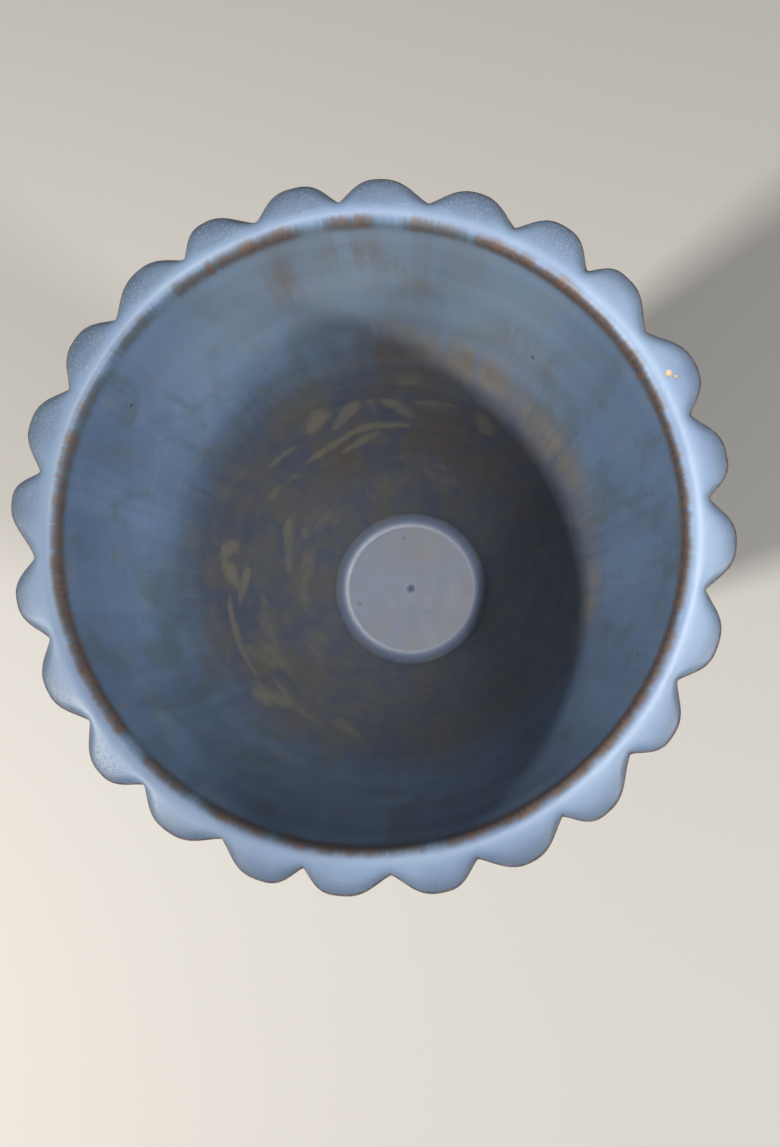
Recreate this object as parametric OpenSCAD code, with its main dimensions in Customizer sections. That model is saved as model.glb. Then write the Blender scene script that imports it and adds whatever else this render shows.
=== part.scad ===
// Tall tapered studio pot with a scalloped, out-turned rim.
// One fired clay body in four forming stages, and the four glaze coats fired onto it.
// Axis of the pot is Z. The origin is the centre of the foot, on the surface that the pot stands on.

/* [Overall] */
// Diameter across the tips of two opposite scallops
rim_d = 220; // [180:1:260]
// Height of the lip's ridge above the table
pot_h = 371; // [300:1:440]

/* [Scalloped rim] */
// Number of scallops round the rim
lobe_count = 24; // [20:2:28]
// Depth of the valleys between the scallops
lobe_depth = 6.7; // [4:0.1:8]
// Width of the valley between two scallops, at its bottom
valley_w = 3.2; // [2:0.2:6]
// Thickness of the flange that carries the scallops
flange_t = 5.6; // [4.5:0.1:7]
// How far the scallops droop below the lip's ridge
flange_droop = 2.4; // [1:0.1:4]
// Height of the formed rim, from its joint with the wall to the ridge
rim_h = 24; // [20:1:40]

/* [Wall] */
// Inside diameter at the lip, over the glaze
mouth_d = 190; // [150:1:200]
// Inside diameter where the wall leaves the floor's fillet, over the glaze
floor_d = 104; // [80:1:130]
// How far the wall bellies out past a straight cone
belly = 5; // [0:0.5:10]
// Wall thickness with both glaze coats
wall_t = 6.4; // [5:0.1:9]
// Radius of the fillet between floor and wall
floor_fillet = 9; // [5:0.5:14]

/* [Foot and base] */
// Height of the unglazed foot ring
foot_h = 5; // [4.5:0.5:8]
// Width of the foot ring's standing face
foot_w = 9; // [6:0.5:14]
// Step between the foot ring and the base above it
foot_step = 2.5; // [1:0.5:5]
// Thickness of the base slab
base_t = 8.2; // [6:0.1:12]

/* [Glaze] */
// Thickness of the glaze coats
glaze_t = 0.8; // [0.5:0.1:1.2]
// Height above the table at which the outside glaze stops
glaze_line = 22; // [16:1:40]

/* [Hidden] */

$fn = 96;
clay_color = [0.72, 0.58, 0.44];
inner_glaze_color = [0.33, 0.42, 0.56];
outer_glaze_color = [0.55, 0.66, 0.84];

// Heights of the stages, from the table up
base_top = foot_h + base_t;
floor_z = base_top + glaze_t;
wall_z0 = floor_z + floor_fillet;
wall_z1 = pot_h - rim_h;

// Radii
tip_r = rim_d / 2;
valley_r = tip_r - lobe_depth;
mouth_r = mouth_d / 2;
floor_r = floor_d / 2;
fillet_r = floor_r - floor_fillet;
base_r = floor_r + wall_t;
foot_r = base_r - foot_step;
wall_steps = 16;
fillet_steps = 6;

// A scallop is an arc of radius lobe_r round a centre at lobe_c from the axis. It meets the
// valley's circle lobe_half to either side of the scallop's middle.
half_pitch = 180 / lobe_count;
lobe_half = half_pitch - asin(valley_w / (2 * valley_r));
lobe_c = (pow(tip_r, 2) - pow(valley_r, 2)) / (2 * (tip_r - valley_r * cos(lobe_half)));
lobe_r = tip_r - lobe_c;

// Radius of the inside surface, over the glaze, at share t of the way up the wall
function wall_r(t) = floor_r + (mouth_r - floor_r) * t + 4 * belly * t * (1 - t);
function wall_share(z) = (z - wall_z0) / (pot_h - wall_z0);

// The wall's inside line from z_low up to z_high, moved out by the distance out
function wall_line(z_low, z_high, out) = [
    for (i = [0 : wall_steps])
        let (z = z_low + (z_high - z_low) * i / wall_steps)
            [wall_r(wall_share(z)) + out, z]
];

// The fillet between floor and wall, from the floor up, moved into the clay by the distance out
function fillet_line(out) = [
    for (i = [0 : fillet_steps])
        let (a = -90 + 90 * i / fillet_steps)
            [fillet_r + (floor_fillet + out) * cos(a), wall_z0 + (floor_fillet + out) * sin(a)]
];

// The whole inside, from the floor up to the rim's joint. The wall's line starts a little above
// the fillet, so that the two run into each other without a kink.
fillet_gap = 4;
function inside_line(out) =
    concat(fillet_line(out), wall_line(wall_z0 + fillet_gap, wall_z1, out));

function reversed(points) = [for (i = [len(points) - 1 : -1 : 0]) points[i]];

// Rim, over the glaze. The lip stands nearly upright at the mouth and rounds over into a ridge.
// The flange falls from the ridge to the scallops, and a cove under it leads back to the wall.
lip_h = 8;
lip_lean = 0.2;
round_h = 3.4;
ridge_w = 2.4;
ridge_flat = 4;
ridge_fall = 0.4;
edge_w = 3;
edge_fall = 2.2;
under_edge_w = 4;
under_edge_fall = 1.2;
cove_w = 2.6;
cove_fall = 0.9;
cove_neck_w = 0.6;
cove_neck_h = 3.4;
cove_h = 9;
past_tip = 2;

ridge_r = mouth_r + ridge_w;
joint_r = wall_r(wall_share(wall_z1));
flange_top = pot_h - flange_droop;
flange_low = flange_top - flange_t;
cove_r = mouth_r + wall_t;

// Top line of the rim from the inside joint over the lip to past the scallops, lowered by down.
// The lip's shoulder lies between its upright side and the ridge.
shoulder_w = 1;
shoulder_h = 1.2;
function rim_top_line(down) = [
    [joint_r + down, wall_z1],
    [mouth_r - lip_lean + down, pot_h - lip_h],
    [mouth_r + down, pot_h - round_h],
    [mouth_r + shoulder_w + down * 0.8, pot_h - shoulder_h - down * 0.4],
    [ridge_r, pot_h - down],
    [ridge_r + ridge_flat, pot_h - ridge_fall - down],
    [tip_r - edge_w, flange_top - down],
    [tip_r + past_tip, flange_top - edge_fall - down]
];

// Underside of the rim from past the scallops in to the outside joint, moved in by in_t
function rim_low_line(in_t) = [
    [tip_r + past_tip, flange_low - under_edge_fall + in_t],
    [tip_r - under_edge_w, flange_low + in_t],
    [cove_r + cove_w - in_t * 0.4, flange_low - cove_fall + in_t * 0.9],
    [cove_r + cove_neck_w - in_t, flange_low - cove_neck_h + in_t * 0.4],
    [cove_r - in_t, flange_low - cove_h],
    [joint_r + wall_t - in_t, wall_z1]
];

module turned(points) {
    rotate_extrude() polygon(points);
}

// Scalloped outline: round lobes with a short valley between each two
module scallop_outline() {
    circle(r = valley_r);
    for (i = [0 : lobe_count - 1])
        rotate(i * 2 * half_pitch) translate([lobe_c, 0]) circle(r = lobe_r);
}

module scalloped(points) {
    intersection() {
        turned(points);
        translate([0, 0, wall_z1 - 1]) linear_extrude(rim_h + 2) scallop_outline();
    }
}

module foot_ring() {
    color(clay_color) difference() {
        cylinder(h = foot_h, r = foot_r);
        translate([0, 0, -1]) cylinder(h = foot_h + 2, r = foot_r - foot_w);
    }
}

module base_slab() {
    color(clay_color) translate([0, 0, foot_h]) cylinder(h = base_t, r = base_r);
}

module wall() {
    outer = concat(
        [[base_r, base_top], [base_r, glaze_line]],
        wall_line(glaze_line, wall_z1, wall_t - glaze_t)
    );
    color(clay_color) turned(concat(inside_line(glaze_t), reversed(outer)));
}

module scalloped_rim() {
    color(clay_color) scalloped(concat(rim_top_line(glaze_t), rim_low_line(glaze_t)));
}

module floor_glaze() {
    color(inner_glaze_color)
        translate([0, 0, base_top]) cylinder(h = glaze_t, r = fillet_r);
}

module inside_glaze() {
    color(inner_glaze_color) turned(concat(inside_line(0), reversed(inside_line(glaze_t))));
}

module rim_glaze() {
    color(outer_glaze_color)
        scalloped(concat(rim_top_line(0), reversed(rim_top_line(glaze_t))));
}

module outside_glaze() {
    color(outer_glaze_color) {
        scalloped(concat(rim_low_line(0), reversed(rim_low_line(glaze_t))));
        turned(concat(
            wall_line(glaze_line, wall_z1, wall_t),
            reversed(wall_line(glaze_line, wall_z1, wall_t - glaze_t))
        ));
    }
}

foot_ring();
base_slab();
wall();
scalloped_rim();
floor_glaze();
inside_glaze();
rim_glaze();
outside_glaze();
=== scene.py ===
"""Looks of the scalloped-rim pot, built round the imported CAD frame. All lengths are in metres."""

import math

import bpy
import numpy as np
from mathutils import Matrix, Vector


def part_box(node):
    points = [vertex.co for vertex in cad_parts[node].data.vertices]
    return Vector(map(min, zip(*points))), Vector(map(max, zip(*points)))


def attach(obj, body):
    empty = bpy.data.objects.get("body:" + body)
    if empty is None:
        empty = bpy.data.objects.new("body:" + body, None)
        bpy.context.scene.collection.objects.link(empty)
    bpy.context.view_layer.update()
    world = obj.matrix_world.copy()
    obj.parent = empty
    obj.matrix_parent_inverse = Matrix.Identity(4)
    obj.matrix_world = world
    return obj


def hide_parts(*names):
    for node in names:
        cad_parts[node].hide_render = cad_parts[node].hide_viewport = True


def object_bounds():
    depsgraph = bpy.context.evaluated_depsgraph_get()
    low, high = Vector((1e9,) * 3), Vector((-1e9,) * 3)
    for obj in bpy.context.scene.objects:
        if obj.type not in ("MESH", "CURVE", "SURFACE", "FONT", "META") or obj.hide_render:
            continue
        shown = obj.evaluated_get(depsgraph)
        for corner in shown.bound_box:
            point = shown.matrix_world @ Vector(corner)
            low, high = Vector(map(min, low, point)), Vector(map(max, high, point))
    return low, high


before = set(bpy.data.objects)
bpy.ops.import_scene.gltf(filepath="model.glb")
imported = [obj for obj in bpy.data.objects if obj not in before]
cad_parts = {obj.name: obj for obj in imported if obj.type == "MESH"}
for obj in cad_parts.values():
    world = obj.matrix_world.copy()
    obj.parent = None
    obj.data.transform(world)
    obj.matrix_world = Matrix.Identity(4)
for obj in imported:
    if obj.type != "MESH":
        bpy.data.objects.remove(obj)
cad_low, cad_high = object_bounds()

# ---------------------------------------------------------------- sizes, from the frame
MM = 0.001
TURN = 2 * math.pi
TIP_R = cad_high.x
TOP_Z = cad_high.z
RIM_JOINT_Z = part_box("scalloped_rim")[0].z
FOOT_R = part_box("foot_ring")[1].x
FOOT_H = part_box("foot_ring")[1].z
BASE_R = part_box("base_slab")[1].x
BASE_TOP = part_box("base_slab")[1].z
FLOOR_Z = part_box("floor_glaze")[1].z
FLOOR_DISC_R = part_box("floor_glaze")[1].x
GLAZE_T = FLOOR_Z - BASE_TOP
GLAZE_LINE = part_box("outside_glaze")[0].z

# The design's own measures, which no box of the frame gives
LOBES = 24
MOUTH_R = 95 * MM
BELLY = 5 * MM
WALL_T = 6.4 * MM
FOOT_W = 9 * MM
FLOOR_R = BASE_R - WALL_T
FILLET = FLOOR_R - FLOOR_DISC_R
WALL_FOOT_Z = FLOOR_Z + FILLET

# The scallops as the hand left them. Depth is from valley to tip, a little less than in the CAD
# part, because the rim's unevenness comes on top of it
LOBE_DEPTH = 6.6 * MM
# Height of the scallops' outer edge, and the radius at which the flange leaves the lip
EDGE_Z = TOP_Z - 4.3 * MM
FLANGE_R = MOUTH_R + 6.0 * MM
# A scallop's outline is part of a cosine. A sweep short of half a turn leaves sharp valleys
VALLEY_SWEEP = math.radians(146)
# How much valleys shift, in scallops, how much tips differ in height and lean, and the range of
# powers that make a scallop pointed or full
LOBE_SEED = 4
VALLEY_SHIFT = 0.035
TIP_SPREAD = 0.05
LEAN_SPREAD = 0.22
LOBE_POWERS = (1.2, 1.5)
# The rim is slightly three-cornered, as a soft rim is after handling. One corner lies here
RIM_CORNER = math.radians(52)


def wall_r(z):
    """Radius of the inside surface at height z."""
    t = (z - WALL_FOOT_Z) / (TOP_Z - WALL_FOOT_Z)
    return FLOOR_R + (MOUTH_R - FLOOR_R) * t + 4 * BELLY * t * (1 - t)


def smooth(low, high, x):
    """0 below low, 1 above high, and a smooth step between."""
    t = np.clip((x - low) / (high - low), 0, 1)
    return t * t * (3 - 2 * t)


def waves(theta, counts, seed):
    """A smooth closed curve round the pot, about -1 to 1: one cosine for each count."""
    phases = np.random.RandomState(seed).uniform(0, TURN, len(counts))
    total = sum(np.cos(n * theta + p) for n, p in zip(counts, phases))
    return total / math.sqrt(len(counts))


def turned_by(theta, degrees):
    """The signed angle from a direction to theta, in degrees from -180 to 180."""
    return (np.degrees(theta) - degrees + 180) % 360 - 180


FINE_PITCH, FINE_DEPTH = 7.5 * MM, 0.02 * MM
WIDE_PITCH, WIDE_DEPTH = 26 * MM, 0.07 * MM


def throwing_rings(theta, z):
    """How far the wall stands in or out at a place, from the potter's fingers. Fine rings lie on
    wide ones, both wander round the pot, and both fade out at the rim's joint and at the floor."""
    slow = 0.6 + 0.4 * np.sin(z * 31 + 2 * np.sin(theta + 1.0))
    fine = np.sin(TURN * z / FINE_PITCH + theta + 1.3 * np.sin(theta * 2 + z * 40))
    wide = np.sin(TURN * z / WIDE_PITCH + 0.8 * np.sin(theta + z * 17))
    fade = 1 - smooth(RIM_JOINT_Z - 12 * MM, RIM_JOINT_Z, z)
    fade = fade * smooth(WALL_FOOT_Z - 2 * MM, WALL_FOOT_Z + 30 * MM, z)
    return (FINE_DEPTH * fine * slow + WIDE_DEPTH * wide) * fade


# ---------------------------------------------------------------- glaze marks, as places
# Stretches of the lip where the glaze breaks to brown: direction, half-width in degrees, strength
BROWN_STRETCHES = [
    (332, 42, 1.0), (28, 44, 1.0), (80, 5, 0.75), (96, 4, 0.8), (112, 6, 0.9), (124, 7, 0.8),
    (142, 4, 0.6), (158, 4, 0.6), (168, 4, 0.7), (183, 10, 0.9), (203, 12, 0.95), (216, 7, 0.9),
    (234, 5, 0.8), (249, 6, 0.9), (266, 8, 0.95), (277, 6, 0.85), (295, 8, 0.8),
]
# Soft patches on the inside wall, clouds of one colour and patches of painted light: direction,
# height, half-sizes in degrees and in metres
RUST_CLOUDS = [
    (56, 0.312, 9, 0.012), (84, 0.342, 10, 0.024), (96, 0.352, 7, 0.015),
    (66, 0.270, 13, 0.012), (112, 0.340, 6, 0.020),
]
TAN_CLOUDS = [(40, 0.258, 20, 0.018), (66, 0.268, 18, 0.022), (352, 0.262, 12, 0.010)]
# Painted light: paler patches high on the wall round one side, where light falls there
PAINTED_LIGHT_PATCHES = [(66, 0.335, 24, 0.060), (96, 0.335, 26, 0.06), (122, 0.340, 16, 0.05)]
UMBER_CLOUDS = [
    (66, 0.166, 30, 0.036), (56, 0.205, 16, 0.016), (92, 0.262, 12, 0.040), (118, 0.150, 14, 0.03),
]
# Pale strokes in the deep glaze: direction, height, half-length and half-width in metres,
# lean from upright in degrees, strength
STROKES = [
    (61, 0.212, 0.014, 0.006, 10, 0.9), (80, 0.214, 0.012, 0.004, -70, 0.8),
    (88, 0.232, 0.020, 0.005, -15, 0.45), (92, 0.203, 0.016, 0.005, 28, 1.0),
    (101, 0.210, 0.013, 0.002, 2, 0.5), (111, 0.205, 0.017, 0.005, -30, 1.0),
    (121, 0.213, 0.013, 0.006, -20, 0.9), (101, 0.180, 0.018, 0.005, 86, 1.0),
    (122, 0.175, 0.016, 0.005, -80, 1.0), (109, 0.165, 0.015, 0.005, -55, 0.95),
    (138, 0.203, 0.012, 0.004, 60, 0.5), (177, 0.213, 0.015, 0.005, 20, 0.7),
    (186, 0.205, 0.018, 0.006, -25, 0.8), (188, 0.190, 0.015, 0.005, 40, 0.8),
    (207, 0.217, 0.022, 0.005, 75, 0.8), (216, 0.200, 0.015, 0.006, -30, 0.6),
    (231, 0.229, 0.020, 0.008, -20, 0.8), (238, 0.212, 0.020, 0.005, 65, 0.7),
    (257, 0.208, 0.018, 0.006, 30, 0.7), (205, 0.168, 0.020, 0.010, 80, 0.5),
    (218, 0.180, 0.016, 0.008, -35, 0.5), (146, 0.178, 0.012, 0.006, 60, 0.4),
    (166, 0.128, 0.022, 0.009, -40, 0.7), (150, 0.095, 0.030, 0.014, 30, 0.4),
    (180, 0.085, 0.024, 0.014, 60, 0.45), (75, 0.110, 0.030, 0.012, 15, 0.4),
    (220, 0.100, 0.030, 0.013, 10, 0.4), (105, 0.085, 0.026, 0.014, -20, 0.4),
]
# Pinholes in the glaze: direction, radius (height on the wall), size in millimetres
RIM_PINHOLES = [(217, 0.1030, 0.45), (103, 0.1046, 0.3), (289, 0.1052, 0.35)]
WALL_PINHOLES = [
    (154, 0.344, 0.8), (339, 0.347, 0.7), (12, 0.336, 0.5), (54, 0.309, 0.9),
    (301, 0.322, 0.5), (188, 0.300, 0.5), (353, 0.318, 0.4), (126, 0.286, 0.5),
]
FLOOR_PINHOLES = [(101, 0.0355, 1.2), (199, 0.0375, 1.4), (305, 0.020, 0.5)]
# Old chips through the glaze on top of one scallop: direction, radius, size in millimetres
RIM_CHIPS = [
    (29.6, 0.1012, 1.7), (28.6, 0.1027, 1.1), (31.3, 0.0993, 1.0), (27.2, 0.1000, 0.7),
    (32.6, 0.0980, 0.6),
]


def clouds(theta, z, places):
    """Round soft patches on the wall, 1 in their middles."""
    total = np.zeros(np.broadcast(theta, z).shape)
    for direction, height, half_turn, half_height in places:
        far = (turned_by(theta, direction) / half_turn) ** 2 + ((z - height) / half_height) ** 2
        total = np.maximum(total, np.exp(-far * 0.9))
    return total


def strokes(theta, z):
    """Soft leaf-shaped strokes on the wall, 1 along their middles."""
    total = np.zeros(np.broadcast(theta, z).shape)
    for direction, height, half_length, half_width, lean, strength in STROKES:
        across = np.radians(turned_by(theta, direction)) * wall_r(height)
        up = z - height
        lean = math.radians(lean)
        along = (up * math.cos(lean) + across * math.sin(lean)) / half_length
        side = across * math.cos(lean) - up * math.sin(lean)
        side = side / half_width - 0.35 * (along**2 - 0.4)
        taper = np.clip(1 - along**2, 0, 1) ** 0.6
        inside = taper - np.abs(side)
        total = np.maximum(total, strength * smooth(-0.5, 0.75, inside) * smooth(0, 0.45, taper))
    return total


def wall_marks(theta, z):
    """The numbers that the inside glaze's material reads, for each point of a mesh."""
    return {
        "rust": clouds(theta, z, RUST_CLOUDS),
        "tan": clouds(theta, z, TAN_CLOUDS),
        "pale": clouds(theta, z, PAINTED_LIGHT_PATCHES),
        "umber": clouds(theta, z, UMBER_CLOUDS),
        "stroke": strokes(theta, z),
    }


def brown_break(theta):
    """How far the lip's glaze has broken to brown in each direction, 0 to 1."""
    total = np.zeros_like(theta)
    for direction, half_width, strength in BROWN_STRETCHES:
        off = np.abs(turned_by(theta, direction)) - half_width
        total = np.maximum(total, strength * smooth(2.5, -1.5, off))
    return total


# ---------------------------------------------------------------- meshes
def turned_mesh(name, rings, closed_loop=True, marks=None):
    """A mesh from rings, an array of rings x points round the pot x 3, joined ring to ring.
    With closed_loop the last ring joins the first. Otherwise the first and last rings close to
    a point on the axis. marks holds one number per ring point under each name."""
    count, around = rings.shape[:2]
    verts = rings.reshape(-1, 3)
    ring = np.arange(around)
    pairs = [(i, i + 1) for i in range(count - 1)] + ([(count - 1, 0)] if closed_loop else [])
    faces = [
        np.stack([a * around + ring, a * around + np.roll(ring, -1),
                  b * around + np.roll(ring, -1), b * around + ring], 1)
        for a, b in pairs
    ]
    faces = np.concatenate(faces).tolist()
    if not closed_loop:
        for index in (0, count - 1):
            verts = np.vstack([verts, rings[index].mean(0) * [0, 0, 1]])
            edge = index * around + ring
            turn = np.stack([np.full(around, len(verts) - 1), np.roll(edge, -1), edge], 1)
            faces += (turn if index == 0 else turn[:, [0, 2, 1]]).tolist()
    mesh = bpy.data.meshes.new(name)
    mesh.from_pydata(verts.tolist(), [], faces)
    for key, values in (marks or {}).items():
        flat = np.zeros(len(verts), np.float32)
        flat[:values.size] = values.ravel()
        mesh.attributes.new(key, "FLOAT", "POINT").data.foreach_set("value", flat)
    mesh.update()
    mesh.shade_smooth()
    mesh.set_sharp_from_angle(angle=math.radians(50))
    piece = bpy.data.objects.new(name, mesh)
    bpy.context.scene.collection.objects.link(piece)
    return piece


def reversed_marks(marks):
    """Marks for rings whose points run the other way round."""
    return {key: value[:, ::-1] for key, value in marks.items()}


def polar(r, theta, z):
    """An array of points from broadcastable radius, angle and height."""
    r, theta, z = np.broadcast_arrays(r, theta, z)
    return np.stack([r * np.cos(theta), r * np.sin(theta), z], -1)


def spline(points, per_span):
    """A uniform cubic B-spline through the row of control arrays, held at both ends."""
    points = [points[0]] * 2 + list(points) + [points[-1]] * 2
    t = np.arange(per_span) / per_span
    basis = np.stack([(1 - t) ** 3, 3 * t**3 - 6 * t**2 + 4,
                      -3 * t**3 + 3 * t**2 + 3 * t + 1, t**3], 1) / 6
    rows = [np.tensordot(basis, np.stack(points[i:i + 4]), 1) for i in range(len(points) - 3)]
    return np.concatenate(rows + [points[-1][None]])


def finish_piece(piece, material, slot, *nodes):
    """Gives a piece its material and its body, and hides the CAD nodes that it stands for."""
    piece.data.materials.append(material)
    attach(piece, "root")
    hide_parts(*nodes)


# ---------------------------------------------------------------- the rim
def scallops(theta):
    """The outline's radius, and the share of the way from valley to tip, in each direction."""
    rng = np.random.RandomState(LOBE_SEED)
    shift = np.append(rng.normal(0, VALLEY_SHIFT, LOBES), 0)
    valleys = (np.arange(LOBES + 1) - 0.5 + shift) / LOBES
    valleys[-1] = valleys[0] + 1
    height = rng.normal(1, TIP_SPREAD, LOBES)
    lean = rng.normal(0, LEAN_SPREAD, LOBES)
    power = rng.uniform(*LOBE_POWERS, LOBES)
    turn = np.mod(theta / TURN - valleys[0], 1) + valleys[0]
    lobe = np.clip(np.searchsorted(valleys, turn, "right") - 1, 0, LOBES - 1)
    start, end = valleys[lobe], valleys[lobe + 1]
    u = (turn - start) / (end - start) - 0.5
    u = u + lean[lobe] * (0.25 - u * u)
    low = math.cos(VALLEY_SWEEP)
    share = (np.cos(VALLEY_SWEEP * np.abs(2 * u) ** power[lobe]) - low) / (1 - low)
    corner = theta - RIM_CORNER
    base = TIP_R - LOBE_DEPTH + 0.5 * MM * np.cos(3 * corner) + 0.25 * MM * np.cos(corner)
    return base + LOBE_DEPTH * height[lobe] * share, share


def make_rim():
    """Lip, flange and scallops, from the joint with the wall on the inside to the outside."""
    around = LOBES * 36
    theta = np.arange(around) * TURN / around
    outline, share = scallops(theta)
    reach = outline - FLANGE_R
    groove = (1 - share) ** 2
    lip = 0.22 * MM * waves(theta, (2, 3, 7, 11), seed=5)
    rise = 0.35 * MM * waves(theta, (1, 2, 3), seed=8)
    edge = EDGE_Z + rise - 1.0 * MM * groove

    # Control points: up the inside of the lip, over it to the scallops' edge, and back below
    profile = [(wall_r(RIM_JOINT_Z + up * MM), RIM_JOINT_Z + up * MM) for up in (0, 3, 7, 11)]
    profile += [
        (MOUTH_R - 0.25 * MM, TOP_Z - 8.5 * MM),
        (MOUTH_R + lip * 0.4, TOP_Z - 5.4 * MM),
        (MOUTH_R + 0.15 * MM + lip, TOP_Z - 2.9 * MM + rise),
        (MOUTH_R + 0.8 * MM + lip, TOP_Z - 1.1 * MM + rise),
        (MOUTH_R + 2.6 * MM + lip, TOP_Z - 0.1 * MM + rise),
        (MOUTH_R + 4.7 * MM + lip, TOP_Z + rise),
        (FLANGE_R + 0.10 * reach, TOP_Z - 0.35 * MM + rise - 0.2 * MM * groove),
        (FLANGE_R + 0.55 * reach, edge + 3.2 * MM),
        (outline - 1.8 * MM, edge + 2.5 * MM),
        (outline - 0.30 * MM, edge + 1.7 * MM),
        (outline + 0.35 * MM, edge - 0.2 * MM),
        (outline - 0.3 * MM, edge - 2.0 * MM),
        (FLANGE_R + 0.75 * reach, edge - 2.8 * MM),
        (FLANGE_R + 0.4 * reach, EDGE_Z - 3.5 * MM),
        (FLANGE_R + 0.9 * MM, EDGE_Z - 5.0 * MM),
        (MOUTH_R + WALL_T + 0.1 * MM, EDGE_Z - 8.9 * MM),
        (wall_r(RIM_JOINT_Z + 6 * MM) + WALL_T, RIM_JOINT_Z + 6 * MM),
        (wall_r(RIM_JOINT_Z) + WALL_T, RIM_JOINT_Z),
    ]
    level = np.zeros_like(theta)
    radius = spline([level + r for r, _ in profile], 4)
    height = spline([level + z for _, z in profile], 4)
    inner = smooth(MOUTH_R + 1.2 * MM, MOUTH_R + 0.3 * MM, radius)
    top = smooth(MOUTH_R + 2 * MM, FLANGE_R + 1 * MM, radius)
    top = top * smooth(EDGE_Z - 1 * MM, EDGE_Z + 1 * MM, height)
    # The wall's marks fade out over the lip. edge and crest are how far a point lies inside the
    # outline and above the outer edge, in millimetres
    marks = {key: value * inner for key, value in wall_marks(theta, height).items()}
    marks["edge"] = (outline - radius) / MM
    marks["dome"] = top * share
    marks["crest"] = (height - edge) / MM
    marks["brown"] = np.broadcast_to(brown_break(theta), radius.shape)
    rings = polar(radius, theta, height)
    return turned_mesh("rim", rings[:, ::-1], marks=reversed_marks(marks))


# ---------------------------------------------------------------- coats and clay
AROUND = 400
THETA = np.arange(AROUND) * TURN / AROUND
# Radius of the last ring before a mesh closes on the axis
NEAR_AXIS = 0.3 * MM


def inside_line(out, wall_rows):
    """Radii and heights from the floor's edge up to the rim, moved into the clay by out."""
    turn = np.radians(np.linspace(-90, 0, 14)[:, None])
    fillet_r = FLOOR_DISC_R + (FILLET + out) * np.cos(turn)
    fillet_z = WALL_FOOT_Z + (FILLET + out) * np.sin(turn)
    z = np.linspace(WALL_FOOT_Z + 1.5 * MM, RIM_JOINT_Z, wall_rows)[:, None]
    return np.vstack([fillet_r, wall_r(z) + out]), np.vstack([fillet_z, z])


def make_inside():
    """The coat on the inside wall, a thin closed shell with faint throwing rings."""
    r, z = inside_line(0, wall_rows=195)
    front = polar(r + throwing_rings(THETA, z), THETA, z)
    back_r, back_z = inside_line(0.9 * GLAZE_T, wall_rows=14)
    back = polar(back_r, THETA, back_z)[::-1]
    marks = wall_marks(THETA, np.vstack([z, back_z[::-1]]))
    rings = np.concatenate([front, back])
    return turned_mesh("inside_coat", rings[:, ::-1], marks=reversed_marks(marks))


def mound(r, x, half_x, half_y):
    """A small round mound on the floor, 1 at its top, which lies x from the axis."""
    along = (r * np.cos(THETA) - x) / half_x
    across = r * np.sin(THETA) / half_y
    return np.exp(-(along**2 + across**2))


def make_floor():
    """The glaze lying on the floor: nearly level, with a faint spiral and, where the thrower's
    finger left, a small nub beside a shallow pit."""
    # Rings in millimetres on a floor of 43 mm radius, closest round the nub
    r = np.concatenate([np.linspace(0.4, 6, 16), np.linspace(7, 43, 40)])[:, None]
    r = r / 43 * FLOOR_DISC_R
    spiral = 0.012 * MM * np.sin(r / (4.4 * MM) * TURN + THETA)
    spiral = spiral * smooth(4 * MM, 12 * MM, r) * smooth(41 * MM, 30 * MM, r)
    nub = 1.3 * MM * mound(r, 0.8 * MM, 1.3 * MM, 1.7 * MM)
    pit = 0.7 * MM * mound(r, -1.6 * MM, 1.2 * MM, 1.8 * MM)
    top = polar(r, THETA, FLOOR_Z + nub - pit + spiral)
    low = polar(np.array([[FLOOR_DISC_R], [NEAR_AXIS]]), THETA, BASE_TOP + 0.05 * MM)
    return turned_mesh("floor_coat", np.concatenate([top, low])[:, ::-1], closed_loop=False)


def clay_outside_r(z):
    """Radius of the clay under the outside coat, a little fuller where it is bare."""
    return wall_r(z) + WALL_T - GLAZE_T + 0.25 * MM * smooth(30 * MM, 20 * MM, z)


def make_wall_clay():
    """The clay wall between the coats, bare for a finger's breadth above the base."""
    z = [np.linspace(BASE_TOP, 0.04, 40), np.linspace(0.045, RIM_JOINT_Z, 60)]
    z = np.concatenate(z)[:, None]
    outside = polar(clay_outside_r(z) + 0.4 * throwing_rings(THETA, z), THETA, z)
    r, inner_z = inside_line(GLAZE_T, wall_rows=26)
    inside = polar(r, THETA, inner_z)[::-1]
    return turned_mesh("wall_clay", np.concatenate([outside, inside]))


def make_outside():
    """The outside coat: it ends in a soft, wavy bead above the foot."""
    line = GLAZE_LINE + 1.8 * MM + 1.3 * MM * waves(THETA, (2, 3, 5, 8), seed=21)
    line = line + 0.45 * MM * waves(THETA, (13, 19, 29, 37), seed=22)
    share = np.concatenate([np.linspace(0, 0.03, 24), np.linspace(0.034, 1, 170)])[:, None]
    z = line + share * (RIM_JOINT_Z - line)
    above = (z - line) / MM
    coat = GLAZE_T * (0.05 + 0.95 * smooth(-0.4, 1.1, above))
    coat = coat + 0.35 * MM * np.exp(-(((above - 1.7) / 1.2) ** 2))
    surface = clay_outside_r(z) + coat + 0.8 * throwing_rings(THETA + 1.7, z)
    front = polar(surface, THETA, z)
    back = polar(clay_outside_r(z[::-12]) - 0.05 * MM, THETA, z[::-12])
    marks = {"above": np.concatenate([above, above[::-12]])}
    return turned_mesh("outside_coat", np.concatenate([front, back]), marks=marks)


def make_base():
    """The clay base: a turned disc with a softened lower edge."""
    edge = 1.1 * MM
    turn = np.radians(np.linspace(-90, 0, 8))
    edge_r = BASE_R - edge + edge * np.cos(turn)
    edge_z = FOOT_H + edge + edge * np.sin(turn)
    r = np.concatenate([[NEAR_AXIS, FOOT_R - FOOT_W], edge_r, [BASE_R, NEAR_AXIS]])
    z = np.concatenate([[FOOT_H, FOOT_H], edge_z, [BASE_TOP, BASE_TOP]])
    return turned_mesh("base_clay", polar(r[:, None], THETA, z[:, None]), closed_loop=False)


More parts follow.
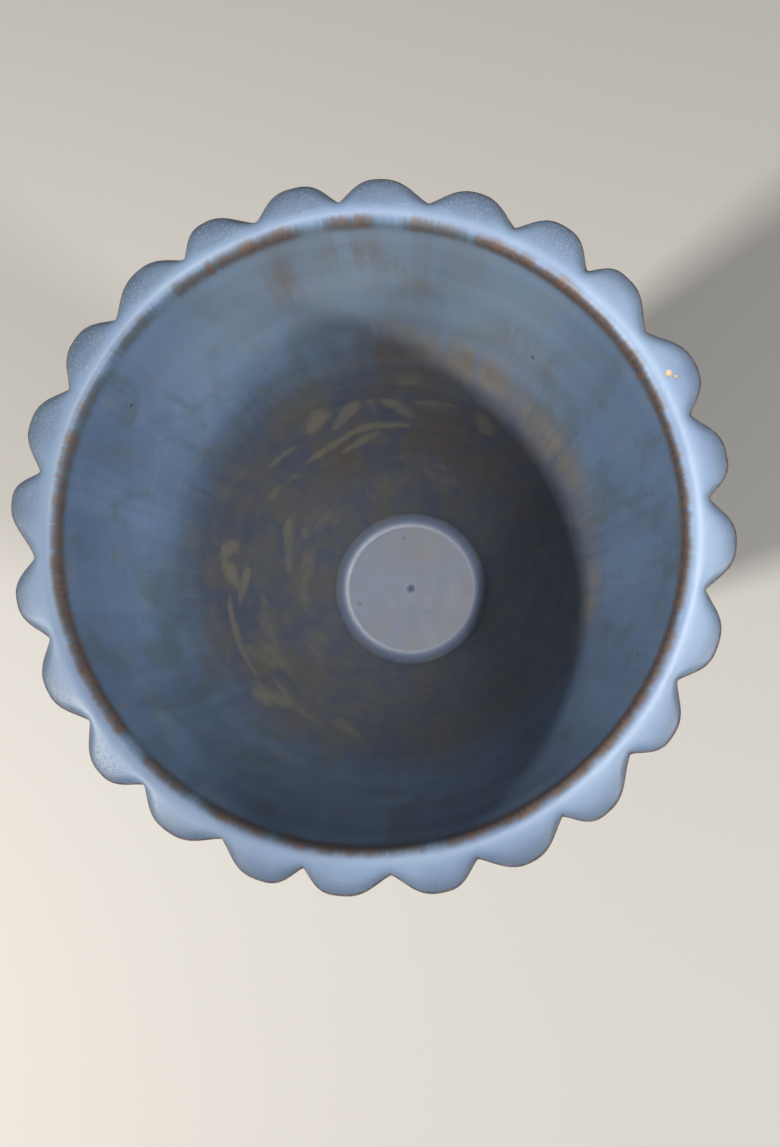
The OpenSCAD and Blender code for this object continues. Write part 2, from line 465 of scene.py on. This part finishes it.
def make_foot():
    """The turned foot ring, with bevelled edges from the trimming tool."""
    bevel = 0.9 * MM
    inner = FOOT_R - FOOT_W
    r = np.array([inner, inner, inner + bevel * 0.4, inner + bevel, inner + FOOT_W * 0.5,
                  FOOT_R - bevel * 1.3, FOOT_R - bevel * 0.4, FOOT_R, FOOT_R])
    z = np.array([FOOT_H, bevel, bevel * 0.35, 0, 0, 0, bevel * 0.4, bevel * 1.3, FOOT_H])
    return turned_mesh("foot_clay", polar(r[:, None], THETA, z[:, None]))


# ---------------------------------------------------------------- materials
class Surface:
    """One material's node tree, built with short calls. A value is a number or a socket."""

    def __init__(self, name):
        self.material = bpy.data.materials.new(name)
        self.material.use_nodes = True
        self.tree = self.material.node_tree
        self.shader = self.tree.nodes["Principled BSDF"]
        self.place = self.tree.nodes.new("ShaderNodeTexCoord").outputs["Object"]
        x, y, self.z = self.node("ShaderNodeSeparateXYZ", Vector=self.place).outputs
        self.r = self.math("SQRT", self.plus(self.times(x, x), self.times(y, y)))
        self.cos = self.math("DIVIDE", x, self.r)
        self.sin = self.math("DIVIDE", y, self.r)

    def node(self, kind, **inputs):
        made = self.tree.nodes.new(kind)
        for key, value in inputs.items():
            self.plug(made.inputs[key.replace("_", " ")], value)
        return made

    def plug(self, socket, value):
        if isinstance(value, bpy.types.NodeSocket):
            self.tree.links.new(value, socket)
        else:
            socket.default_value = value

    def math(self, operation, a, b=0.0):
        made = self.tree.nodes.new("ShaderNodeMath")
        made.operation = operation
        self.plug(made.inputs[0], a)
        self.plug(made.inputs[1], b)
        return made.outputs[0]

    def times(self, first, *values):
        for value in values:
            first = self.math("MULTIPLY", first, value)
        return first

    def plus(self, first, *values):
        for value in values:
            first = self.math("ADD", first, value)
        return first

    def most(self, first, *values):
        for value in values:
            first = self.math("MAXIMUM", first, value)
        return first

    def step(self, value, low, high):
        """A smooth step from 0 at low to 1 at high. low may be the larger."""
        made = self.node("ShaderNodeMapRange", Value=value, From_Min=low, From_Max=high)
        made.interpolation_type = "SMOOTHSTEP"
        return made.outputs["Result"]

    def mark(self, name):
        """A number that the mesh carries at each point."""
        made = self.tree.nodes.new("ShaderNodeAttribute")
        made.attribute_name = name
        return made.outputs["Fac"]

    def noise(self, vector, scale, detail=3.0, roughness=0.5, distortion=0.0):
        made = self.node("ShaderNodeTexNoise", Vector=vector, Scale=scale, Detail=detail,
                         Roughness=roughness, Distortion=distortion)
        return made.outputs["Fac"]

    def cells(self, scale):
        """Distance from the middle of the nearest of many small cells."""
        made = self.node("ShaderNodeTexVoronoi", Vector=self.place, Scale=scale)
        return made.outputs["Distance"]

    def runs(self, along, up, offset=0.0):
        """Noise coordinates: along cells per radian round the pot, up cells per metre of height."""
        made = self.node("ShaderNodeCombineXYZ", X=self.times(self.cos, along),
                         Y=self.times(self.sin, along), Z=self.plus(self.times(self.z, up), offset))
        return made.outputs[0]

    def mix(self, share, a, b):
        """Colour a, with the share of colour b laid over it."""
        made = self.tree.nodes.new("ShaderNodeMix")
        made.data_type = "RGBA"
        for index, value in ((0, share), (6, a), (7, b)):
            self.plug(made.inputs[index], value)
        return made.outputs[2]

    def spots(self, points):
        """Small round marks at points, each (x, y, z, radius), ragged at their edges."""
        ragged = self.times(self.plus(self.noise(self.place, 2600.0, 1.0), -0.5), 0.7 * MM)
        total = 0.0
        for x, y, z, radius in points:
            far = self.tree.nodes.new("ShaderNodeVectorMath")
            far.operation = "DISTANCE"
            self.plug(far.inputs[0], self.place)
            far.inputs[1].default_value = (x, y, z)
            spot = self.step(self.plus(far.outputs["Value"], ragged), radius, radius * 0.45)
            total = self.most(spot, total)
        return total

    def finish(self, colour, roughness, bump=None, distance=0.05 * MM, ior=1.5):
        """Plugs all into the shader. distance is the height that a bump of 1 stands for."""
        self.shader.inputs["IOR"].default_value = ior
        self.plug(self.shader.inputs["Base Color"], colour)
        self.plug(self.shader.inputs["Roughness"], roughness)
        if bump is not None:
            made = self.node("ShaderNodeBump", Height=bump, Distance=distance)
            self.tree.links.new(made.outputs[0], self.shader.inputs["Normal"])
        return self.material


def srgb(red, green, blue):
    """A linear colour from 8-bit sRGB numbers."""
    def linear(v):
        v = v / 255
        return v / 12.92 if v <= 0.04045 else ((v + 0.055) / 1.055) ** 2.4
    return (linear(red), linear(green), linear(blue), 1.0)


RIM_BLUE = srgb(101, 120, 150)
# Painted shade for the scallops' tips and for their domes round one side
RIM_TIP_SHADE = srgb(84, 99, 118)
RIM_PALE = srgb(114, 135, 161)
SPECKLE = srgb(146, 158, 167)
WALL_BLUE = srgb(97, 119, 147)
WALL_DEEP = srgb(86, 106, 133)
WALL_LIT = srgb(130, 148, 165)
# Painted light for the upper wall round one side
WALL_TEAL = srgb(81, 95, 103)
DEEP_GREY = srgb(92, 94, 97)
DEEP_BLUE = srgb(76, 85, 104)
OLIVE = srgb(99, 95, 81)
STROKE = srgb(130, 124, 105)
TAN = srgb(133, 117, 97)
RUST = srgb(112, 83, 62)
STAIN = srgb(108, 98, 86)
UMBER = srgb(96, 82, 66)
DARK_BROWN = srgb(58, 44, 34)
FRINGE = srgb(74, 86, 86)
FLOOR_BLUE = srgb(70, 80, 99)
POOL_BLUE = srgb(68, 79, 101)
FLOOR_WARM = srgb(78, 80, 86)
CHIP = srgb(206, 172, 104)
PIT = srgb(40, 34, 30)
CLAY = srgb(178, 142, 106)
CLAY_DARK = srgb(142, 106, 76)
STAGE_PALE = srgb(226, 221, 213)
GLAZE_IOR = 1.62
RIM_IOR = 1.55

# Heights between which the wall's blue gives way to the greys of the deep part
BLUE_ABOVE, GREY_BELOW = 0.29, 0.225
# The speckle is clearest, and the scallops carry painted shade, round one side: its direction, as x
# and y
SPECKLE_AND_SHADE_SIDE = (-0.47, 0.88)
# How deep a pinhole or chip cuts, in units of the bump's height
CUT = -8.0


def on_wall(places):
    """Points on the inside wall from (direction, height, size in mm)."""
    return [(*polar(wall_r(z), math.radians(turn), z), size * MM) for turn, z, size in places]


def on_level(places, z):
    """Points at one height from (direction, radius, size in mm)."""
    return [(*polar(r, math.radians(turn), z), size * MM) for turn, r, size in places]


def inside_colour(s):
    """The inside wall: denim blue above, greyer and browner below, with runs, clouds, strokes and
    painted light high on one side.
    Returns the colour, the pinholes and the runs."""
    streak = s.noise(s.runs(22.0, 5.0), 1.0, 3.0, 0.6)
    broad = s.noise(s.runs(2.6, 9.0), 1.0, 4.0, 0.55)
    cloud = s.noise(s.runs(5.5, 22.0, 7.0), 1.0, 3.0, 0.6, 0.5)
    fleck = s.noise(s.runs(55.0, 330.0), 1.0, 2.0, 0.6)
    blot = s.noise(s.runs(8.0, 90.0, 5.0), 1.0, 2.0, 0.5, 0.6)
    blend = s.plus(s.times(broad, 0.75), s.times(streak, 0.25))
    upper = s.mix(s.step(blend, 0.36, 0.64), WALL_DEEP, WALL_BLUE)
    upper = s.mix(s.times(s.step(cloud, 0.48, 0.68), 0.65), upper, WALL_TEAL)
    lower = s.mix(s.step(cloud, 0.38, 0.60), DEEP_BLUE, DEEP_GREY)
    lower = s.mix(s.times(s.step(broad, 0.50, 0.68), 0.6), lower, OLIVE)
    depth = s.plus(s.z, s.times(s.plus(streak, -0.5), 0.05))
    colour = s.mix(s.step(depth, BLUE_ABOVE, GREY_BELOW), upper, lower)
    # Painted light: paler high on the wall round one side
    colour = s.mix(s.times(s.mark("pale"), 0.62), colour, WALL_LIT)
    colour = s.mix(s.times(s.mark("umber"), s.step(cloud, 0.25, 0.60), 0.75), colour, UMBER)
    warm = s.step(s.plus(streak, s.times(fleck, 0.5)), 0.50, 0.85)
    colour = s.mix(s.times(s.mark("tan"), warm, 0.7), colour, TAN)
    grime = s.plus(s.times(fleck, 0.25), s.times(streak, 0.75), s.times(cloud, 0.4))
    colour = s.mix(s.times(s.mark("rust"), s.step(grime, 0.50, 0.90), 0.70), colour, STAIN)
    ragged = s.plus(s.mark("stroke"), s.times(s.plus(blot, -0.5), 1.5),
                    s.times(s.plus(fleck, -0.5), 0.25))
    colour = s.mix(s.times(s.step(ragged, 0.0, 1.0), 0.72), colour, STROKE)
    pits = s.spots(on_wall(WALL_PINHOLES))
    return s.mix(s.times(pits, 0.8), colour, PIT), pits, streak


def satin_bump(s, grain=0.35):
    """Fine unevenness of a satin glaze."""
    fine = s.noise(s.place, 1500.0, 2.0, 0.6)
    soft = s.noise(s.place, 220.0, 2.0, 0.5)
    return s.plus(s.times(fine, grain), soft)


def rim_top_colour(s, dome, speckle, side):
    """Powder blue of the lip and the flange, speckled on the scallops, with painted shade on the
    scallops' tips and on their domes round one side, and a painted light strip outside the lip.
    """
    edge = s.mark("edge")
    broad = s.noise(s.place, 28.0, 3.0, 0.55)
    colour = s.mix(s.step(broad, 0.35, 0.65), RIM_BLUE, RIM_PALE)
    # Painted shade: the scallops darken toward their tips
    outer = s.step(s.plus(edge, s.times(broad, 4.0)), 9.0, 2.5)
    colour = s.mix(s.times(outer, 0.8), colour, RIM_TIP_SHADE)
    # Painted light: a paler strip just outside the lip, where light falls on the flange
    lit_strip_near_lip = s.times(s.step(s.r, MOUTH_R + 2.5 * MM, MOUTH_R + 4.0 * MM),
                       s.step(s.r, MOUTH_R + 9 * MM, MOUTH_R + 5 * MM))
    colour = s.mix(s.times(lit_strip_near_lip, 0.6), colour, RIM_PALE)
    colour = s.mix(s.times(speckle, s.plus(0.14, s.times(side, 0.66))), colour, SPECKLE)
    # Painted shade: the scallops' domes round one side are darker
    return s.mix(s.times(side, s.step(dome, 0.2, 0.9), 0.35), colour, RIM_TIP_SHADE)


def rim_material():
    """Powder-blue satin glaze that is mottled on the scallops and breaks to brown on edges."""
    s = Surface("rim_glaze")
    inside, pits, _ = inside_colour(s)
    dome = s.mark("dome")
    fine = s.noise(s.place, 700.0, 2.0, 0.6)
    streak = s.noise(s.runs(75.0, 60.0), 1.0, 4.0, 0.65)
    wobble = s.noise(s.runs(16.0, 1.0, 3.0), 1.0, 3.0, 0.6)
    ragged = s.plus(streak, -0.5)
    wavy = s.plus(wobble, -0.5)

    patchy = s.plus(s.noise(s.place, 160.0, 2.0, 0.5), s.times(dome, 0.35))
    speckle = s.times(s.step(s.cells(1150.0), 0.46, 0.16), s.step(patchy, 0.52, 0.78),
                      s.step(dome, 0.10, 0.60))
    side = s.plus(s.times(s.cos, SPECKLE_AND_SHADE_SIDE[0]), s.times(s.sin, SPECKLE_AND_SHADE_SIDE[1]))
    top = rim_top_colour(s, dome, speckle, s.step(side, 0.10, 0.85))

    # Down the inner side of the lip the powder blue gives way to the inside glaze
    drop = s.plus(TOP_Z, s.times(s.z, -1.0), s.times(wavy, 3.0 * MM))
    inner = s.times(s.step(drop, 0.7 * MM, 5.0 * MM),
                    s.step(s.r, MOUTH_R + 4 * MM, MOUTH_R + 2 * MM))
    colour = s.mix(inner, top, inside)

    # There it breaks in a band, to brown where it is thinnest and to a grey fringe beside that
    band_low = s.plus(s.times(wobble, 3.0), s.times(streak, 5.0), 1.4)
    level = s.plus(s.times(drop, 1 / MM), s.times(ragged, 1.6), -0.6)
    in_band = s.times(s.step(level, -0.9, 1.3),
                      s.step(s.plus(level, s.times(band_low, -1.0)), 2.2, -2.0),
                      s.step(s.r, MOUTH_R + 3.2 * MM, MOUTH_R + 1.4 * MM))
    torn = s.plus(s.mark("brown"), s.times(ragged, 1.3), s.times(wavy, 0.6))
    fringe = s.times(in_band, s.step(torn, -0.2, 0.5))
    broken = s.times(in_band, s.step(torn, 0.30, 1.15))
    colour = s.mix(s.times(fringe, 0.65), colour, FRINGE)
    band_brown = s.mix(s.step(s.plus(streak, s.times(fine, 0.4)), 0.46, 0.90), DARK_BROWN, RUST)
    colour = s.mix(s.times(broken, 0.80), colour, band_brown)

    # The glaze is thin on the sharp outer edge, and the dark body shows as a fine line
    line = s.step(s.plus(s.mark("edge"), s.times(s.plus(fine, -0.5), 0.9)), 1.30, 0.45)
    line = s.times(line, s.step(s.mark("crest"), 0.2, 1.0))
    edge_brown = s.mix(s.step(fine, 0.40, 0.62), DARK_BROWN, RUST)
    colour = s.mix(s.times(line, 0.85), colour, edge_brown)

    # Underneath it is the outside glaze
    under = s.times(s.step(s.z, EDGE_Z - 0.5 * MM, EDGE_Z - 2.2 * MM),
                    s.step(s.r, MOUTH_R + 3 * MM, MOUTH_R + 5 * MM))
    colour = s.mix(s.times(under, s.plus(1.0, s.times(line, -1.0))), colour, outside_colour(s))

    chips = s.spots(on_level(RIM_CHIPS, TOP_Z - 0.6 * MM))
    holes = s.spots(on_level(RIM_PINHOLES, TOP_Z - 2.4 * MM))
    colour = s.mix(s.times(chips, 0.9), colour, CHIP)
    colour = s.mix(s.times(holes, 0.9), colour, PIT)
    bump = s.plus(satin_bump(s), s.times(speckle, 0.25), s.times(s.most(chips, holes, pits), CUT),
                  s.times(broken, -0.6))
    roughness = s.plus(0.46, s.times(fine, 0.06), s.times(speckle, 0.16), s.times(broken, -0.04),
                       s.times(chips, 0.4))
    return s.finish(colour, roughness, bump, ior=RIM_IOR)


def inside_material():
    """Denim-blue satin glaze of the inside wall, thicker where it pools at the floor."""
    s = Surface("inside_glaze")
    colour, pits, streak = inside_colour(s)
    pool = s.step(s.z, FLOOR_Z + 7 * MM, FLOOR_Z + 0.3 * MM)
    colour = s.mix(pool, colour, POOL_BLUE)
    bump = s.plus(satin_bump(s, 0.2), s.times(streak, 0.8), s.times(pits, CUT))
    roughness = s.plus(0.40, s.times(streak, 0.14), s.times(pool, 0.05))
    return s.finish(colour, roughness, bump, ior=GLAZE_IOR)


def floor_material():
    """The thick glaze on the floor: blue-grey, with warm clouds and a few pinholes."""
    s = Surface("floor_glaze")
    broad = s.noise(s.place, 34.0, 4.0, 0.6, 0.4)
    cloud = s.noise(s.place, 90.0, 3.0, 0.6)
    pits = s.spots(on_level(FLOOR_PINHOLES, FLOOR_Z))
    colour = s.mix(s.times(s.step(broad, 0.46, 0.66), 0.7), FLOOR_BLUE, FLOOR_WARM)
    colour = s.mix(s.times(s.step(cloud, 0.5, 0.75), 0.35), colour, DEEP_GREY)
    colour = s.mix(s.times(pits, 0.7), colour, UMBER)
    bump = s.plus(satin_bump(s, 0.05), s.times(cloud, 1.2), s.times(broad, 2.0),
                  s.times(pits, 0.75 * CUT))
    return s.finish(colour, s.plus(0.50, s.times(cloud, 0.12)), bump)


def outside_colour(s):
    """Powder blue with soft vertical runs, flecks and thin places."""
    streak = s.noise(s.runs(20.0, 6.0, 4.0), 1.0, 3.0, 0.6)
    broad = s.noise(s.runs(3.0, 11.0, 2.0), 1.0, 4.0, 0.55)
    blend = s.plus(s.times(broad, 0.6), s.times(streak, 0.4))
    colour = s.mix(s.step(blend, 0.40, 0.62), RIM_BLUE, RIM_PALE)
    colour = s.mix(s.times(s.step(broad, 0.55, 0.72), 0.4), colour, WALL_BLUE)
    fleck = s.noise(s.place, 520.0, 2.0, 0.6)
    return s.mix(s.times(s.step(fleck, 0.70, 0.78), 0.5), colour, SPECKLE)


def outside_material():
    """The outside coat, darker and brown-edged where it thins and beads above the bare clay."""
    s = Surface("outside_glaze")
    above = s.mark("above")
    grain = s.noise(s.place, 420.0, 2.0, 0.6)
    colour = s.mix(s.times(s.step(above, 16.0, 2.0), 0.55), outside_colour(s), WALL_BLUE)
    thin = s.step(s.plus(above, s.times(grain, 1.2)), 1.7, 0.6)
    colour = s.mix(s.times(thin, 0.9), colour, s.mix(grain, DARK_BROWN, RUST))
    roughness = s.plus(0.36, s.times(grain, 0.10), s.times(thin, 0.1))
    return s.finish(colour, roughness, satin_bump(s), ior=GLAZE_IOR)


def clay_material():
    """Fired, unglazed clay with fine grog and turning lines."""
    s = Surface("fired_clay")
    grain = s.noise(s.place, 900.0, 3.0, 0.6)
    broad = s.noise(s.place, 40.0, 3.0, 0.55)
    grog = s.step(s.cells(700.0), 0.22, 0.10)
    rings = s.noise(s.runs(0.6, 1600.0), 1.0, 2.0, 0.5)
    blend = s.plus(s.times(grain, 0.5), s.times(broad, 0.5))
    colour = s.mix(s.step(blend, 0.38, 0.62), CLAY_DARK, CLAY)
    colour = s.mix(s.times(grog, 0.35), colour, CLAY_DARK)
    bump = s.plus(s.times(grain, 1.5), s.times(rings, 1.5), grog)
    return s.finish(colour, s.plus(0.78, s.times(grain, 0.12)), bump, 0.08 * MM)


# ---------------------------------------------------------------- build
clay = clay_material()
finish_piece(make_rim(), rim_material(), "rim_glaze", "scalloped_rim", "rim_glaze")
finish_piece(make_inside(), inside_material(), "inside_glaze", "inside_glaze")
finish_piece(make_floor(), floor_material(), "floor_glaze", "floor_glaze")
finish_piece(make_outside(), outside_material(), "outside_glaze", "outside_glaze")
finish_piece(make_wall_clay(), clay, "clay_body", "wall")
finish_piece(make_base(), clay, "bare_clay", "base_slab")
finish_piece(make_foot(), clay, "bare_clay", "foot_ring")


# ---------------------------------------------------------------- stage, lights, camera
def make_stage():
    """The plain pale floor that the pot stands on."""
    half = 3.0
    corners = [(-half, -half, 0), (half, -half, 0), (half, half, 0), (-half, half, 0)]
    mesh = bpy.data.meshes.new("floor")
    mesh.from_pydata(corners, [], [(0, 1, 2, 3)])
    stage = bpy.data.objects.new("stage_floor", mesh)
    bpy.context.scene.collection.objects.link(stage)
    mesh.materials.append(Surface("pale_floor").finish(STAGE_PALE, 0.7))
    return stage


def place_light(name, kind, power, colour, azimuth, elevation, distance, aim=(0, 0, EDGE_Z)):
    """A light in a direction, in degrees, from the middle of the pot's mouth, aimed at a point."""
    data = bpy.data.lights.new(name, kind)
    data.energy, data.color = power, colour
    light = bpy.data.objects.new(name, data)
    rise = math.radians(elevation)
    toward = Vector(polar(math.cos(rise), math.radians(azimuth), math.sin(rise)))
    light.location = toward * distance + Vector((0, 0, EDGE_Z))
    light.rotation_euler = (light.location - Vector(aim)).to_track_quat("Z", "Y").to_euler()
    bpy.context.scene.collection.objects.link(light)
    return light


def make_lights(stage):
    """A lamp with a snoot for the depth of the pot, a soft box at each side, and a soft room."""
    lamp = place_light("high_lamp", "SPOT", 145.0, (1.0, 0.97, 0.93), azimuth=-9, elevation=78.4,
                       distance=1.3, aim=(0.008, 0.004, EDGE_Z))
    lamp.data.spot_size = math.radians(9.4)
    lamp.data.spot_blend = 0.35
    lamp.data.shadow_soft_size = 0.022
    # What spills past the rim is kept off the stage
    spared = bpy.data.collections.new("not_lit_by_lamp")
    spared.objects.link(stage)
    lamp.light_linking.receiver_collection = spared
    spared.collection_objects[0].light_linking.link_state = "EXCLUDE"

    left = place_light("left_box", "AREA", 23.5, (1.0, 0.98, 0.95), azimuth=211, elevation=36.3,
                       distance=1.5)
    left.data.size = 0.14
    right = place_light("right_box", "AREA", 12.0, (0.97, 0.98, 1.0), azimuth=-22, elevation=25.5,
                        distance=1.5)
    right.data.size = 0.24

    world = bpy.data.worlds.new("soft_room")
    world.use_nodes = True
    world.node_tree.nodes["Background"].inputs["Color"].default_value = (0.95, 0.97, 1.0, 1)
    world.node_tree.nodes["Background"].inputs["Strength"].default_value = 0.10
    bpy.context.scene.world = world
    bpy.context.scene.view_settings.view_transform = "Standard"


def make_camera():
    """Looks almost straight down into the pot, from a little to the right of its middle and a
    little in front of it."""
    data = bpy.data.cameras.new("camera")
    data.sensor_width = 36.0
    data.lens = 28.25
    camera = bpy.data.objects.new("camera", data)
    # The place is given in radii of the rim
    camera.location = (0.2403 * TIP_R, -0.2803 * TIP_R, EDGE_Z + 2.467 * TIP_R)
    camera.rotation_euler = [math.radians(angle) for angle in (3.92, 3.60, 3.10)]
    bpy.context.scene.collection.objects.link(camera)
    bpy.context.scene.camera = camera


make_lights(make_stage())
make_camera()
